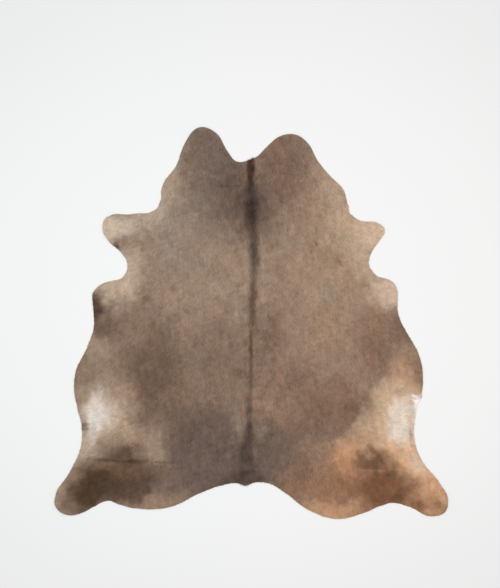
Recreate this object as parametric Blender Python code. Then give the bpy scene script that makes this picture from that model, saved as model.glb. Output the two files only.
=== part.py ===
"""A whole cowhide rug that lies flat with its hair side up, as one sheet.

Metres, +Z up. The floor is z = 0, +Y runs from the tail to the neck, and +X is on the right of
someone who looks down on the hide with its neck away from them. The origin is on the floor, at the
middle of the hide's length and width.
"""

from collections import namedtuple
from math import cos, hypot, pi

import bmesh
import bpy
from mathutils import Vector
from mathutils.geometry import interpolate_bezier

# Thickness of the leather with its short coat lying flat on it
BACK_THICKNESS = 0.0045
BELLY_THICKNESS = 0.0032
BACK_HALF_WIDTH = 0.80
SPINE_RISE = 0.0012
SPINE_HALF_WIDTH = 0.060
EDGE_DROP = 0.0009

# Spacing of the mesh's points
EDGE_STEP = 0.020
GRID_STEP = 0.042
CURVE_FINENESS = 16
SHORTEST_EDGE = 0.0015

# Where the lines of edges along a fold run, as shares of its half width
FOLD_LINES = (-1.0, -0.5, 0.0, 0.5, 1.0)

# How far a curve's handle reaches towards the next landmark, as a share of the way there
HANDLE_REACH = 0.36

COAT_COLOUR = (0.215, 0.150, 0.108, 1.0)
COAT_ROUGHNESS = 0.85

Landmark = namedtuple("Landmark", "place x y")
Fold = namedtuple("Fold", "place x0 y0 x1 y1 half_width height")
Lift = namedtuple("Lift", "place x y radius height")

# The cut edge, from the crown of the left neck lobe down the left side, past the tail and up the right
EDGE = (
    Landmark("left neck lobe, crown", -0.253, 0.975),
    Landmark("left neck lobe, outer shoulder", -0.325, 0.914),
    Landmark("left neck, upper", -0.375, 0.783),
    Landmark("left neck, lower", -0.440, 0.690),
    Landmark("left shoulder", -0.451, 0.612),
    Landmark("left foreleg, front root", -0.501, 0.552),
    Landmark("left foreleg, front edge", -0.618, 0.541),
    Landmark("left foreleg, front corner", -0.698, 0.537),
    Landmark("left foreleg, tip", -0.741, 0.477),
    Landmark("left foreleg, rear corner", -0.713, 0.408),
    Landmark("left foreleg, rear edge", -0.653, 0.353),
    Landmark("left armpit", -0.616, 0.286),
    Landmark("left armpit, rear", -0.651, 0.219),
    Landmark("left elbow, front", -0.728, 0.203),
    Landmark("left elbow, corner", -0.787, 0.154),
    Landmark("left elbow, side", -0.787, 0.075),
    Landmark("left ribs, front", -0.785, -0.025),
    Landmark("left ribs", -0.815, -0.114),
    Landmark("left belly, front", -0.875, -0.244),
    Landmark("left belly, widest", -0.882, -0.338),
    Landmark("left flank, upper", -0.847, -0.492),
    Landmark("left flank, narrowest", -0.845, -0.592),
    Landmark("left hind leg, front edge", -0.912, -0.753),
    Landmark("left hind leg, front corner", -0.971, -0.845),
    Landmark("left hind leg, tip", -0.974, -0.913),
    Landmark("left hind leg, rear corner", -0.917, -0.955),
    Landmark("left hind leg, rear edge", -0.832, -0.942),
    Landmark("left hind leg, rear dip", -0.738, -0.890),
    Landmark("left thigh, outer", -0.638, -0.909),
    Landmark("left thigh, lowest", -0.519, -0.927),
    Landmark("left thigh, inner", -0.400, -0.915),
    Landmark("left rump, outer", -0.257, -0.848),
    Landmark("left rump, inner", -0.146, -0.808),
    Landmark("tail, left", -0.066, -0.798),
    Landmark("tail, cut end", -0.031, -0.810),
    Landmark("tail, right", 0.008, -0.796),
    Landmark("right rump, inner", 0.085, -0.798),
    Landmark("right rump, outer", 0.157, -0.838),
    Landmark("right thigh, inner", 0.282, -0.930),
    Landmark("right thigh, lowest", 0.426, -0.975),
    Landmark("right thigh, outer", 0.565, -0.944),
    Landmark("right hind leg, rear dip", 0.690, -0.895),
    Landmark("right hind leg, rear edge", 0.784, -0.915),
    Landmark("right hind leg, rear corner", 0.893, -0.962),
    Landmark("right hind leg, tip", 0.963, -0.940),
    Landmark("right hind leg, front corner", 0.977, -0.873),
    Landmark("right hind leg, front edge", 0.938, -0.796),
    Landmark("right hind leg, front root", 0.844, -0.674),
    Landmark("right flank, narrowest", 0.811, -0.575),
    Landmark("right flank, upper", 0.816, -0.467),
    Landmark("right belly, rear", 0.846, -0.362),
    Landmark("right belly, widest", 0.853, -0.259),
    Landmark("right belly, front", 0.829, -0.144),
    Landmark("right ribs", 0.769, -0.040),
    Landmark("right ribs, front", 0.729, 0.055),
    Landmark("right elbow, side", 0.731, 0.149),
    Landmark("right elbow, corner", 0.716, 0.187),
    Landmark("right armpit, rear", 0.620, 0.239),
    Landmark("right armpit", 0.584, 0.293),
    Landmark("right foreleg, rear edge", 0.600, 0.353),
    Landmark("right foreleg, rear corner", 0.650, 0.433),
    Landmark("right foreleg, tip", 0.655, 0.477),
    Landmark("right foreleg, front edge", 0.600, 0.502),
    Landmark("right foreleg, front root", 0.525, 0.518),
    Landmark("right shoulder", 0.483, 0.582),
    Landmark("right neck, lower", 0.461, 0.661),
    Landmark("right neck, middle", 0.391, 0.734),
    Landmark("right neck, upper", 0.329, 0.811),
    Landmark("right neck lobe, outer shoulder", 0.282, 0.895),
    Landmark("right neck lobe, crown", 0.222, 0.937),
    Landmark("right neck lobe, inner shoulder", 0.147, 0.932),
    Landmark("neck notch, right slope", 0.073, 0.875),
    Landmark("neck notch, right of the spine", 0.023, 0.826),
    Landmark("neck notch, spine", -0.019, 0.809),
    Landmark("neck notch, left of the spine", -0.071, 0.803),
    Landmark("neck notch, left slope", -0.116, 0.853),
    Landmark("left neck lobe, inner shoulder", -0.176, 0.947),
)

# Soft ridges where the sheet stands off the floor, each along a straight line
FOLDS = (
    Fold("left hind leg, crease", -0.790, -0.674, -0.240, -0.702, 0.045, 0.0045),
    Fold("right hind leg, crease", 0.470, -0.722, 0.800, -0.738, 0.042, 0.0040),
    Fold("left flank, upper pucker", -0.880, -0.480, -0.770, -0.500, 0.017, 0.0045),
    Fold("left flank, lower pucker", -0.880, -0.530, -0.765, -0.512, 0.016, 0.0040),
    Fold("right flank, upper pucker", 0.850, -0.505, 0.755, -0.495, 0.018, 0.0040),
    Fold("right flank, lower pucker", 0.850, -0.585, 0.750, -0.560, 0.018, 0.0040),
    Fold("right armpit, upper pucker", 0.610, 0.312, 0.480, 0.330, 0.016, 0.0040),
    Fold("right armpit, lower pucker", 0.610, 0.278, 0.495, 0.290, 0.016, 0.0035),
    Fold("left armpit, pucker", -0.640, 0.290, -0.520, 0.285, 0.020, 0.0035),
    Fold("neck, cross fold", -0.190, 0.688, 0.110, 0.680, 0.035, 0.0025),
)

# Places at the edge that curl up a little
LIFTS = (
    Lift("left neck lobe", -0.275, 1.000, 0.190, 0.0050),
    Lift("right neck lobe", 0.215, 0.965, 0.170, 0.0045),
    Lift("left foreleg", -0.770, 0.480, 0.170, 0.0060),
    Lift("right foreleg", 0.690, 0.490, 0.150, 0.0055),
    Lift("left elbow", -0.825, 0.130, 0.120, 0.0035),
    Lift("right elbow", 0.760, 0.180, 0.120, 0.0035),
    Lift("left belly", -0.920, -0.320, 0.140, 0.0030),
    Lift("right belly", 0.890, -0.250, 0.150, 0.0035),
    Lift("left hind leg", -1.000, -0.930, 0.210, 0.0060),
    Lift("right hind leg", 1.005, -0.920, 0.200, 0.0060),
    Lift("left thigh", -0.500, -0.960, 0.130, 0.0025),
    Lift("right thigh", 0.430, -1.010, 0.150, 0.0030),
)


def swell(share):
    """One at the middle, nought from a share of 1 outwards, with a smooth way between."""
    if share >= 1.0:
        return 0.0
    return 0.5 + 0.5 * cos(pi * share)


def fade(share):
    """One over the middle half of a fold's length, falling smoothly to nought at its two ends."""
    return swell(max(0.0, 2.0 * share - 1.0))


def along_and_off(fold, x, y):
    """Where a point lies beside a fold: the share of its length, and the distance from its line."""
    run_x = fold.x1 - fold.x0
    run_y = fold.y1 - fold.y0
    length = hypot(run_x, run_y)
    along = ((x - fold.x0) * run_x + (y - fold.y0) * run_y) / length**2
    off = ((x - fold.x0) * run_y - (y - fold.y0) * run_x) / length
    return along, abs(off)


def fold_height(fold, x, y):
    along, off = along_and_off(fold, x, y)
    return fold.height * fade(abs(2.0 * along - 1.0)) * swell(off / fold.half_width)


def lift_height(lift, x, y):
    return lift.height * swell(hypot(x - lift.x, y - lift.y) / lift.radius)


def underside(x, y):
    """Height of the flesh side above the floor: nought wherever the hide lies flat."""
    folds = sum(fold_height(fold, x, y) for fold in FOLDS)
    lifts = sum(lift_height(lift, x, y) for lift in LIFTS)
    return folds + lifts


def thickness(x):
    """The sheet is thickest along the spine, with the longer hair there, and thins to the belly."""
    back = swell(abs(x) / BACK_HALF_WIDTH)
    spine = SPINE_RISE * swell(abs(x) / SPINE_HALF_WIDTH)
    return BELLY_THICKNESS + (BACK_THICKNESS - BELLY_THICKNESS) * back + spine


def smooth_line(landmarks):
    """Evenly spaced points on the smooth closed curve through the landmarks."""
    points = [Vector((mark.x, mark.y, 0.0)) for mark in landmarks]
    count = len(points)
    tangents = []
    for index, here in enumerate(points):
        before = here - points[index - 1]
        after = points[(index + 1) % count] - here
        tangents.append((before / before.length_squared + after / after.length_squared).normalized())
    fine = []
    for index, here in enumerate(points):
        onward = (index + 1) % count
        reach = HANDLE_REACH * (points[onward] - here).length
        leaving = here + tangents[index] * reach
        arriving = points[onward] - tangents[onward] * reach
        fine += interpolate_bezier(here, leaving, arriving, points[onward], CURVE_FINENESS)[:-1]
    return evenly_spaced(fine)


def evenly_spaced(fine):
    """Points at equal steps of about EDGE_STEP along a closed line of finer ones."""
    corners = fine + fine[:1]
    lengths = [(b - a).length for a, b in zip(corners, corners[1:])]
    total = sum(lengths)
    count = round(total / EDGE_STEP)
    spaced = []
    index = 0
    passed = 0.0
    for number in range(count):
        wanted = total * number / count
        while passed + lengths[index] < wanted:
            passed += lengths[index]
            index += 1
        share = (wanted - passed) / lengths[index]
        spaced.append(corners[index].lerp(corners[index + 1], share))
    return spaced


def cut_along(bm, faces, point, normal):
    """Adds a line of edges where a plane crosses the given faces."""
    edges = {edge for face in faces for edge in face.edges}
    verts = {vert for face in faces for vert in face.verts}
    bmesh.ops.bisect_plane(
        bm,
        geom=[*verts, *edges, *faces],
        dist=SHORTEST_EDGE,
        plane_co=point,
        plane_no=normal,
    )


def grid_cuts(bm, half_width, half_length):
    """Cuts the sheet into squares, so that it can follow the folds."""
    for across in range(-int(half_width / GRID_STEP), int(half_width / GRID_STEP) + 1):
        cut_along(bm, bm.faces[:], (across * GRID_STEP, 0.0, 0.0), (1.0, 0.0, 0.0))
    for along in range(-int(half_length / GRID_STEP), int(half_length / GRID_STEP) + 1):
        cut_along(bm, bm.faces[:], (0.0, along * GRID_STEP, 0.0), (0.0, 1.0, 0.0))


def fold_cuts(bm, fold):
    """Adds lines along a fold's crown and along both of its feet."""
    run = Vector((fold.x1 - fold.x0, fold.y1 - fold.y0, 0.0))
    side = run.cross(Vector((0.0, 0.0, 1.0))).normalized()
    middle = Vector((fold.x0, fold.y0, 0.0)) + run / 2.0
    for share in FOLD_LINES:
        near = []
        for face in bm.faces:
            centre = face.calc_center_median()
            along, off = along_and_off(fold, centre.x, centre.y)
            if 0.0 < along < 1.0 and off < fold.half_width + GRID_STEP:
                near.append(face)
        cut_along(bm, near, middle + side * share * fold.half_width, side)


def hide_mesh():
    bm = bmesh.new()
    line = smooth_line(EDGE)
    bm.faces.new([bm.verts.new(point) for point in line])
    grid_cuts(bm, max(point.x for point in line), max(point.y for point in line))
    for fold in FOLDS:
        fold_cuts(bm, fold)
    bmesh.ops.dissolve_degenerate(bm, dist=SHORTEST_EDGE, edges=bm.edges[:])
    bmesh.ops.triangulate(bm, faces=bm.faces[:])
    rim = {vert for edge in bm.edges if edge.is_boundary for vert in edge.verts}
    rim_places = {(vert.co.x, vert.co.y) for vert in rim}
    flesh = bm.verts[:]
    raised = bmesh.ops.extrude_face_region(bm, geom=bm.faces[:])
    coat = [part for part in raised["geom"] if isinstance(part, bmesh.types.BMVert)]
    for vert in flesh:
        vert.co.z = underside(vert.co.x, vert.co.y)
    for vert in coat:
        drop = EDGE_DROP if (vert.co.x, vert.co.y) in rim_places else 0.0
        vert.co.z = underside(vert.co.x, vert.co.y) + thickness(vert.co.x) - drop
    bmesh.ops.recalc_face_normals(bm, faces=bm.faces[:])
    mesh = bpy.data.meshes.new("hide")
    bm.to_mesh(mesh)
    bm.free()
    mesh.shade_smooth()
    return mesh


def coat_material():
    material = bpy.data.materials.new("hide")
    material.use_nodes = True
    shader = material.node_tree.nodes["Principled BSDF"]
    shader.inputs["Base Color"].default_value = COAT_COLOUR
    shader.inputs["Roughness"].default_value = COAT_ROUGHNESS
    shader.inputs["Metallic"].default_value = 0.0
    return material


def main():
    for old in list(bpy.context.scene.objects):
        bpy.data.objects.remove(old, do_unlink=True)
    mesh = hide_mesh()
    mesh.materials.append(coat_material())
    bpy.context.collection.objects.link(bpy.data.objects.new("hide", mesh))


main()
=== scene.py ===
"""A whole tanned cowhide, laid flat as a rug with its hair side up, on a plain pale floor."""

import logging
from dataclasses import dataclass, field, fields, replace
from enum import Enum
from math import cos, hypot, pi, radians, sin

import bmesh
import bpy
import numpy as np
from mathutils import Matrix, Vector, kdtree
from mathutils.bvhtree import BVHTree


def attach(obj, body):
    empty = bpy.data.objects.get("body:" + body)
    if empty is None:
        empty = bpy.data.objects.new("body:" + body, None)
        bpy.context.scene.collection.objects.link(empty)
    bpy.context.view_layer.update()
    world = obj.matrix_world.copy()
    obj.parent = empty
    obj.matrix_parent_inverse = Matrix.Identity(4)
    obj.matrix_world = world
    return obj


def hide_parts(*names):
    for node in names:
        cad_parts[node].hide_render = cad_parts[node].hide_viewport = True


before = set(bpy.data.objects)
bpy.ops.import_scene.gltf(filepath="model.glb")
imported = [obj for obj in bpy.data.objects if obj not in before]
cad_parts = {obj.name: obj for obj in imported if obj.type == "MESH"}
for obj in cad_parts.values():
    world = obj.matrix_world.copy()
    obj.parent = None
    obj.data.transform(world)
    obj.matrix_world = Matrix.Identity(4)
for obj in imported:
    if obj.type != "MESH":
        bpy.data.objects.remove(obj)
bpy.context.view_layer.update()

LOG = logging.getLogger("cowhide")
DISPLAY_WHITE = 255.0
LUMINANCE = (0.30, 0.59, 0.11)
NODE_GAP = 0.00001
CLOUD_WAVES = 24
# A patch that is narrower than this wavers only a little at its edge.
FINE_REACH = 0.06
# How upright a face's normal is on the hair side, at least.
FACING = 0.6


def to_linear(shade: float) -> float:
    """A display shade from 0 to 1 as the light that it stands for.

    Args:
        shade: the shade as a screen shows it.

    Returns:
        The linear share of light.
    """
    if shade <= 0.04045:
        return shade / 12.92
    return ((shade + 0.055) / 1.055) ** 2.4


class Tone(Enum):
    """The coat's hair colours, from the spine's darkest to the white of the flanks, in display shades."""

    NIGHT = (58, 48, 43)
    SOOT = (68, 49, 36)
    BISTRE = (82, 64, 52)
    PEAT = (76, 58, 38)
    UMBER = (105, 81, 62)
    MINK = (106, 87, 72)
    MOLE = (105, 88, 78)
    BARK = (127, 104, 88)
    SLATE = (104, 89, 81)
    TAUPE = (143, 123, 106)
    DRAB = (118, 103, 93)
    HAZEL = (130, 104, 85)
    ASH = (152, 137, 123)
    FAWN = (161, 142, 122)
    WARM = (163, 137, 113)
    SAND = (189, 167, 143)
    BONE = (187, 171, 151)
    STRAW = (207, 181, 151)
    OAT = (205, 186, 165)
    WHEAT = (200, 178, 153)
    CREAM = (206, 196, 179)
    PEARL = (214, 209, 200)
    WHITE = (223, 214, 200)
    SNOW = (246, 243, 240)
    GINGER = (184, 141, 107)
    APRICOT = (208, 168, 132)
    HONEY = (208, 171, 135)
    NUT = (152, 115, 88)
    RUST = (138, 101, 76)
    CHESTNUT = (118, 82, 58)

    def colour(self) -> np.ndarray:
        """The tone as a linear colour."""
        return np.array([to_linear(shade / DISPLAY_WHITE) for shade in self.value])


@dataclass(frozen=True)
class Marking:
    """One soft-edged patch of the coat: where it lies, how far it reaches and how much it covers. Most
    patches are the coat's own colour; the thin lines along the creases and puckers are painted shade, or a
    painted highlight.

    Its core is the share of its reach that it covers evenly, and its turn is in degrees.
    """

    place: str
    tone: Tone
    x: float
    y: float
    reach_x: float
    reach_y: float
    strength: float
    core: float = 0.1
    turn: float = 0.0

    def is_fine(self) -> bool:
        """Whether the patch is so narrow that only a small waver suits its edge."""
        return min(self.reach_x, self.reach_y) < FINE_REACH

    def share(self, places: np.ndarray) -> np.ndarray:
        """How much of the coat the patch covers at each place.

        Args:
            places: the places' x and y.

        Returns:
            Numbers from nought to the patch's strength.
        """
        turn = radians(self.turn)
        east = places[:, 0] - self.x
        north = places[:, 1] - self.y
        across = (east * cos(turn) + north * sin(turn)) / self.reach_x
        along = (north * cos(turn) - east * sin(turn)) / self.reach_y
        out = ((np.hypot(across, along) - self.core) / (1.0 - self.core)).clip(0.0, 1.0)
        return self.strength * (1.0 - out * out * (3.0 - 2.0 * out))


GROUND_TONE = Tone.TAUPE
MARKINGS = tuple(Marking(*row) for row in (
    ("shoulders", Tone.FAWN, 0.05, 0.3, 0.85, 0.42, 0.5),
    ("right side", Tone.WARM, 0.45, 0.15, 0.45, 0.85, 0.6, 0.2),
    ("left shoulder, grey", Tone.ASH, -0.38, 0.5, 0.27, 0.38, 0.75),
    ("left shoulder, soft light", Tone.FAWN, -0.155, 0.6, 0.07, 0.13, 0.22),
    ("withers, left", Tone.MOLE, -0.25, 0.51, 0.14, 0.19, 0.25),
    ("left shoulder, pale band", Tone.FAWN, -0.3, 0.15, 0.28, 0.12, 0.65),
    ("right shoulder, pale band", Tone.FAWN, 0.38, 0.15, 0.2, 0.11, 0.65),
    ("left neck", Tone.DRAB, -0.2, 0.82, 0.2, 0.36, 0.9, 0.3),
    ("neck middle", Tone.MOLE, -0.02, 0.62, 0.27, 0.34, 0.95),
    ("neck, left, soft light", Tone.TAUPE, -0.31, 0.76, 0.08, 0.09, 0.3),
    ("right neck, inner", Tone.BARK, 0.16, 0.8, 0.17, 0.34, 0.8, 0.3),
    ("right neck, soft light", Tone.TAUPE, 0.25, 0.83, 0.08, 0.1, 0.35),
    ("right neck, outer", Tone.SAND, 0.43, 0.66, 0.14, 0.28, 0.62, 0.1, 25),
    ("left neck, outer", Tone.BONE, -0.45, 0.66, 0.13, 0.26, 0.5, 0.2, -20),
    ("left shoulder edge", Tone.BONE, -0.53, 0.53, 0.15, 0.13, 0.6, 0.2),
    ("right shoulder", Tone.SAND, 0.42, 0.5, 0.17, 0.15, 0.55),
    ("right shoulder edge", Tone.SAND, 0.52, 0.42, 0.16, 0.3, 0.52, 0.2),
    ("left foreleg", Tone.CREAM, -0.7, 0.475, 0.15, 0.095, 0.8, 0.3),
    ("left foreleg, olive", Tone.BONE, -0.66, 0.475, 0.16, 0.1, 0.5, 0.2),
    ("right foreleg", Tone.WHEAT, 0.64, 0.455, 0.17, 0.13, 0.9, 0.4),
    ("left armpit", Tone.BONE, -0.605, 0.284, 0.115, 0.118, 0.8, 0.2),
    ("left foreleg, spot", Tone.BISTRE, -0.67, 0.382, 0.03, 0.018, 0.85, 0.1, -40),
    ("right armpit", Tone.SAND, 0.565, 0.29, 0.12, 0.11, 0.6, 0.2),
    ("left elbow, tan", Tone.BONE, -0.68, 0.165, 0.15, 0.09, 0.95, 0.4),
    ("right elbow", Tone.OAT, 0.69, 0.15, 0.16, 0.14, 0.85, 0.3),
    ("left elbow, inner", Tone.FAWN, -0.65, 0.1, 0.08, 0.09, 0.5, 0.2),
    ("left elbow, dark", Tone.BISTRE, -0.779, 0.068, 0.105, 0.15, 0.97, 0.2, 16),
    ("left elbow, dark, inner", Tone.MINK, -0.7, -0.03, 0.075, 0.11, 0.7, 0.1, 30),
    ("left belly, tan", Tone.FAWN, -0.765, -0.13, 0.075, 0.16, 0.65, 0.2, 15),
    ("left belly, rim", Tone.HAZEL, -0.868, -0.19, 0.04, 0.11, 0.6, 0.2, -10),
    ("left belly, pale edge", Tone.FAWN, -0.845, -0.33, 0.06, 0.07, 0.55, 0.2),
    ("right ribs, edge", Tone.HAZEL, 0.75, -0.03, 0.08, 0.14, 0.85, 0.3, 20),
    ("right ribs", Tone.HAZEL, 0.62, -0.11, 0.17, 0.28, 0.75),
    ("left ribs", Tone.MINK, -0.49, -0.28, 0.26, 0.44, 0.84),
    ("back, right, soft light", Tone.FAWN, 0.245, 0.065, 0.09, 0.1, 0.2),
    ("left ribs, upper light", Tone.FAWN, -0.345, 0.155, 0.1, 0.1, 0.22),
    ("loins, left", Tone.MINK, -0.15, -0.24, 0.32, 0.38, 0.37),
    ("left rump", Tone.MINK, -0.29, -0.52, 0.2, 0.22, 0.6),
    ("loins, right", Tone.HAZEL, 0.24, -0.42, 0.4, 0.32, 0.75),
    ("loins, across", Tone.MOLE, 0.08, -0.5, 0.45, 0.2, 0.38),
    ("rump", Tone.SLATE, -0.14, -0.68, 0.52, 0.34, 0.9, 0.35),
    ("right rump", Tone.HAZEL, 0.45, -0.415, 0.25, 0.17, 0.85, 0.1, 12),
    ("right rump, dark smudge", Tone.MINK, 0.515, -0.42, 0.065, 0.1, 0.5),
    ("rump, lower right", Tone.HAZEL, 0.22, -0.79, 0.22, 0.12, 0.65),
    ("loins, warm", Tone.WARM, 0.08, -0.42, 0.24, 0.15, 0.45),
    ("loins, dark by the spine", Tone.MINK, 0.085, -0.08, 0.15, 0.16, 0.5),
    ("loins, soft shade", Tone.MINK, -0.056, -0.234, 0.07, 0.07, 0.35),
    ("right shoulder, soft shade", Tone.MINK, 0.13, 0.264, 0.08, 0.06, 0.3),
    ("rump, right", Tone.MINK, 0.25, -0.725, 0.1, 0.08, 0.5),
    ("back, dark smudge", Tone.MINK, 0.115, 0.0, 0.062, 0.13, 0.42),
    ("left ribs, spot", Tone.MINK, -0.28, 0.065, 0.03, 0.028, 0.3),
    ("left shoulder, outer spot", Tone.MINK, -0.52, 0.115, 0.04, 0.032, 0.45),
    ("left shoulder, inner spot", Tone.MINK, -0.39, 0.165, 0.035, 0.03, 0.5),
    ("back, left, soft light", Tone.FAWN, -0.205, 0.065, 0.09, 0.13, 0.2),
    ("loins, dark smudge", Tone.MINK, 0.207, -0.285, 0.05, 0.11, 0.4),
    ("right hindquarter", Tone.NUT, 0.62, -0.85, 0.58, 0.34, 0.9, 0.3),
    ("left flank, halo", Tone.SAND, -0.73, -0.46, 0.23, 0.25, 0.72, 0.2, -10),
    ("left thigh, pale", Tone.SAND, -0.61, -0.57, 0.23, 0.13, 0.45, 0.2, -10),
    ("left thigh, crescent", Tone.FAWN, -0.48, -0.63, 0.13, 0.09, 0.6, 0.2, -40),
    ("left flank, white", Tone.PEARL, -0.762, -0.448, 0.112, 0.16, 0.97, 0.15, -22),
    ("left flank, white tail", Tone.PEARL, -0.798, -0.565, 0.062, 0.12, 0.62, 0.2, -14),
    ("left flank, tan streak", Tone.FAWN, -0.705, -0.285, 0.04, 0.1, 0.6),
    ("left thigh, front edge", Tone.BONE, -0.845, -0.625, 0.1, 0.125, 0.75, 0.3),
    # painted shade: the darker rim where the left flank's puckers fold
    ("left flank, rim", Tone.HAZEL, -0.83, -0.518, 0.03, 0.05, 0.65, 0.2),
    ("right flank, halo", Tone.STRAW, 0.73, -0.52, 0.21, 0.28, 0.88, 0.35),
    ("right thigh, pale", Tone.STRAW, 0.51, -0.625, 0.16, 0.11, 0.6, 0.1, 15),
    ("right belly, tan", Tone.APRICOT, 0.77, -0.27, 0.12, 0.18, 0.38, 0.2),
    ("right flank, pale rim", Tone.STRAW, 0.645, -0.385, 0.075, 0.115, 0.6, 0.2),
    ("right flank, upper rim", Tone.STRAW, 0.735, -0.305, 0.085, 0.05, 0.5, 0.2),
    ("right thigh, pale rim", Tone.STRAW, 0.55, -0.53, 0.075, 0.075, 0.55),
    ("right belly, edge", Tone.HAZEL, 0.84, -0.24, 0.05, 0.115, 0.6, 0.3),
    ("right belly, lower edge", Tone.STRAW, 0.812, -0.335, 0.05, 0.045, 0.45, 0.2),
    ("left thigh, dark", Tone.MINK, -0.645, -0.64, 0.145, 0.115, 0.85),
    ("left thigh, dark, outer", Tone.MINK, -0.713, -0.645, 0.075, 0.055, 0.5),
    ("left thigh, darkest", Tone.BISTRE, -0.63, -0.655, 0.09, 0.06, 0.6),
    ("left thigh, dark, inner", Tone.MINK, -0.565, -0.64, 0.055, 0.055, 0.4),
    ("left leg, below the crease", Tone.UMBER, -0.65, -0.75, 0.27, 0.115, 0.88, 0.4),
    ("left leg, hock", Tone.SOOT, -0.763, -0.755, 0.065, 0.08, 0.75, 0.1, -20),
    ("left leg, dark band", Tone.PEAT, -0.782, -0.825, 0.19, 0.1, 0.95, 0.3, 38),
    ("left leg, dark spot, outer", Tone.SOOT, -0.818, -0.843, 0.085, 0.05, 0.6, 0.1, 25),
    ("left leg, dark spot, middle", Tone.SOOT, -0.68, -0.81, 0.085, 0.045, 0.6),
    ("left leg, dark band, middle", Tone.BISTRE, -0.66, -0.825, 0.17, 0.085, 0.85, 0.3),
    ("left leg, dark band, inner end", Tone.BISTRE, -0.52, -0.82, 0.11, 0.065, 0.8, 0.1, 25),
    ("left leg, lower rim", Tone.BISTRE, -0.69, -0.872, 0.105, 0.045, 0.7, 0.2),
    ("left leg, tip", Tone.PEAT, -0.9, -0.88, 0.14, 0.12, 0.5, 0.2, 30),
    ("left leg, tip edge", Tone.FAWN, -0.98, -0.86, 0.07, 0.12, 0.7, 0.3, -20),
    ("left thigh, lower edge", Tone.WARM, -0.42, -0.91, 0.2, 0.09, 0.45, 0.3, 10),
    ("right thigh, crescent", Tone.GINGER, 0.49, -0.67, 0.175, 0.15, 0.85, 0.2, 15),
    ("right leg, outer", Tone.HONEY, 0.845, -0.69, 0.195, 0.33, 1.0, 0.35, 38),
    ("right leg, pale rim", Tone.CREAM, 0.835, -0.69, 0.065, 0.13, 0.45, 0.2, 38),
    ("right flank, white", Tone.WHITE, 0.743, -0.478, 0.102, 0.185, 0.92, 0.3, 3),
    ("right flank, tan rim", Tone.SAND, 0.8, -0.535, 0.032, 0.07, 0.55, 0.2, 5),
    ("right flank, white rim", Tone.PEARL, 0.804, -0.43, 0.024, 0.04, 0.7, 0.2),
    ("right thigh, dark", Tone.RUST, 0.612, -0.69, 0.15, 0.085, 0.95, 0.2, -5),
    ("right thigh, darkest", Tone.UMBER, 0.59, -0.68, 0.105, 0.075, 0.7, 0.1, -5),
    ("right leg, dark", Tone.CHESTNUT, 0.675, -0.825, 0.22, 0.14, 0.9, 0.3, 2),
    ("right leg, inner dark", Tone.RUST, 0.51, -0.81, 0.14, 0.07, 0.6, 0.2, -12),
    ("right thigh, lower edge", Tone.APRICOT, 0.38, -0.935, 0.24, 0.075, 0.52, 0.3, -3),
    ("right leg, tip", Tone.GINGER, 0.91, -0.88, 0.13, 0.11, 0.6, 0.3, -30),
    ("right leg, tip mottle", Tone.CHESTNUT, 0.834, -0.903, 0.05, 0.04, 0.7),
    ("right leg, tip spot", Tone.CHESTNUT, 0.922, -0.905, 0.045, 0.04, 0.45),
    ("right leg, tip rim", Tone.STRAW, 0.958, -0.88, 0.024, 0.045, 0.5),
    ("right leg, tip, lower rim", Tone.APRICOT, 0.878, -0.94, 0.04, 0.022, 0.4),
    ("right leg, rusty spot", Tone.SOOT, 0.735, -0.868, 0.05, 0.045, 0.45),
    ("right leg, upper spot", Tone.UMBER, 0.7, -0.757, 0.06, 0.045, 0.4),
    ("tail", Tone.NIGHT, -0.03, -0.79, 0.15, 0.08, 0.5, 0.2),
    ("spine, neck end", Tone.NIGHT, -0.003, 0.75, 0.028, 0.15, 0.85, 0.2),
    ("spine, neck tip", Tone.SOOT, -0.003, 0.772, 0.023, 0.095, 0.9, 0.5),
    ("withers, soft shade", Tone.BISTRE, -0.01, 0.55, 0.13, 0.17, 0.34),
    ("spine, withers", Tone.NIGHT, 0.0, 0.565, 0.056, 0.18, 0.95),
    ("spine, shoulders", Tone.NIGHT, 0.014, 0.36, 0.042, 0.22, 0.75),
    ("spine, back", Tone.BISTRE, 0.006, 0.1, 0.034, 0.24, 0.8),
    ("spine, loins", Tone.BISTRE, -0.002, -0.15, 0.018, 0.3, 0.8),
    ("spine, croup", Tone.NIGHT, -0.01, -0.47, 0.023, 0.24, 0.55),
    ("spine, rusty streak", Tone.RUST, -0.03, -0.095, 0.014, 0.06, 0.5),
    ("right flank, brown spots", Tone.NUT, 0.792, -0.555, 0.016, 0.045, 0.6),
    # painted shade: a thin dark line in the right flank's lower pucker
    ("right flank, lower pucker", Tone.NUT, 0.805, -0.612, 0.024, 0.007, 0.6),
    ("right shoulder, upper scratch", Tone.MINK, 0.301, 0.355, 0.005, 0.042, 0.45, 0.2, -30),
    ("right shoulder, dark speck", Tone.UMBER, 0.3205, 0.39, 0.009, 0.013, 0.7, 0.2, -20),
    ("right shoulder, lower scratch", Tone.MINK, 0.441, 0.301, 0.006, 0.07, 0.5, 0.2, 29),
    ("right flank, white hair", Tone.SNOW, 0.834, -0.399, 0.036, 0.047, 1.0, 0.35, -20),
    ("right flank, white hair, upper wisp", Tone.SNOW, 0.815, -0.366, 0.03, 0.01, 0.95, 0.2, -22),
    ("right flank, white hair, lower wisp", Tone.SNOW, 0.808, -0.383, 0.028, 0.0075, 0.95, 0.2),
    ("right flank, white hair, rim", Tone.SNOW, 0.826, -0.44, 0.018, 0.045, 0.8, 0.2, -12),
    ("spine, tail end", Tone.NIGHT, -0.03, -0.66, 0.055, 0.2, 0.58, 0.2),
    ("croup, pale clump, left", Tone.FAWN, -0.066, -0.52, 0.055, 0.11, 0.42),
    ("croup, pale clump, right", Tone.FAWN, 0.05, -0.53, 0.05, 0.09, 0.3),
    # painted shade: thin dark lines along the left hind leg's crease
    ("left hind leg crease, outer", Tone.SOOT, -0.725, -0.6815, 0.09, 0.014, 0.66, 0.2, -2),
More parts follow.
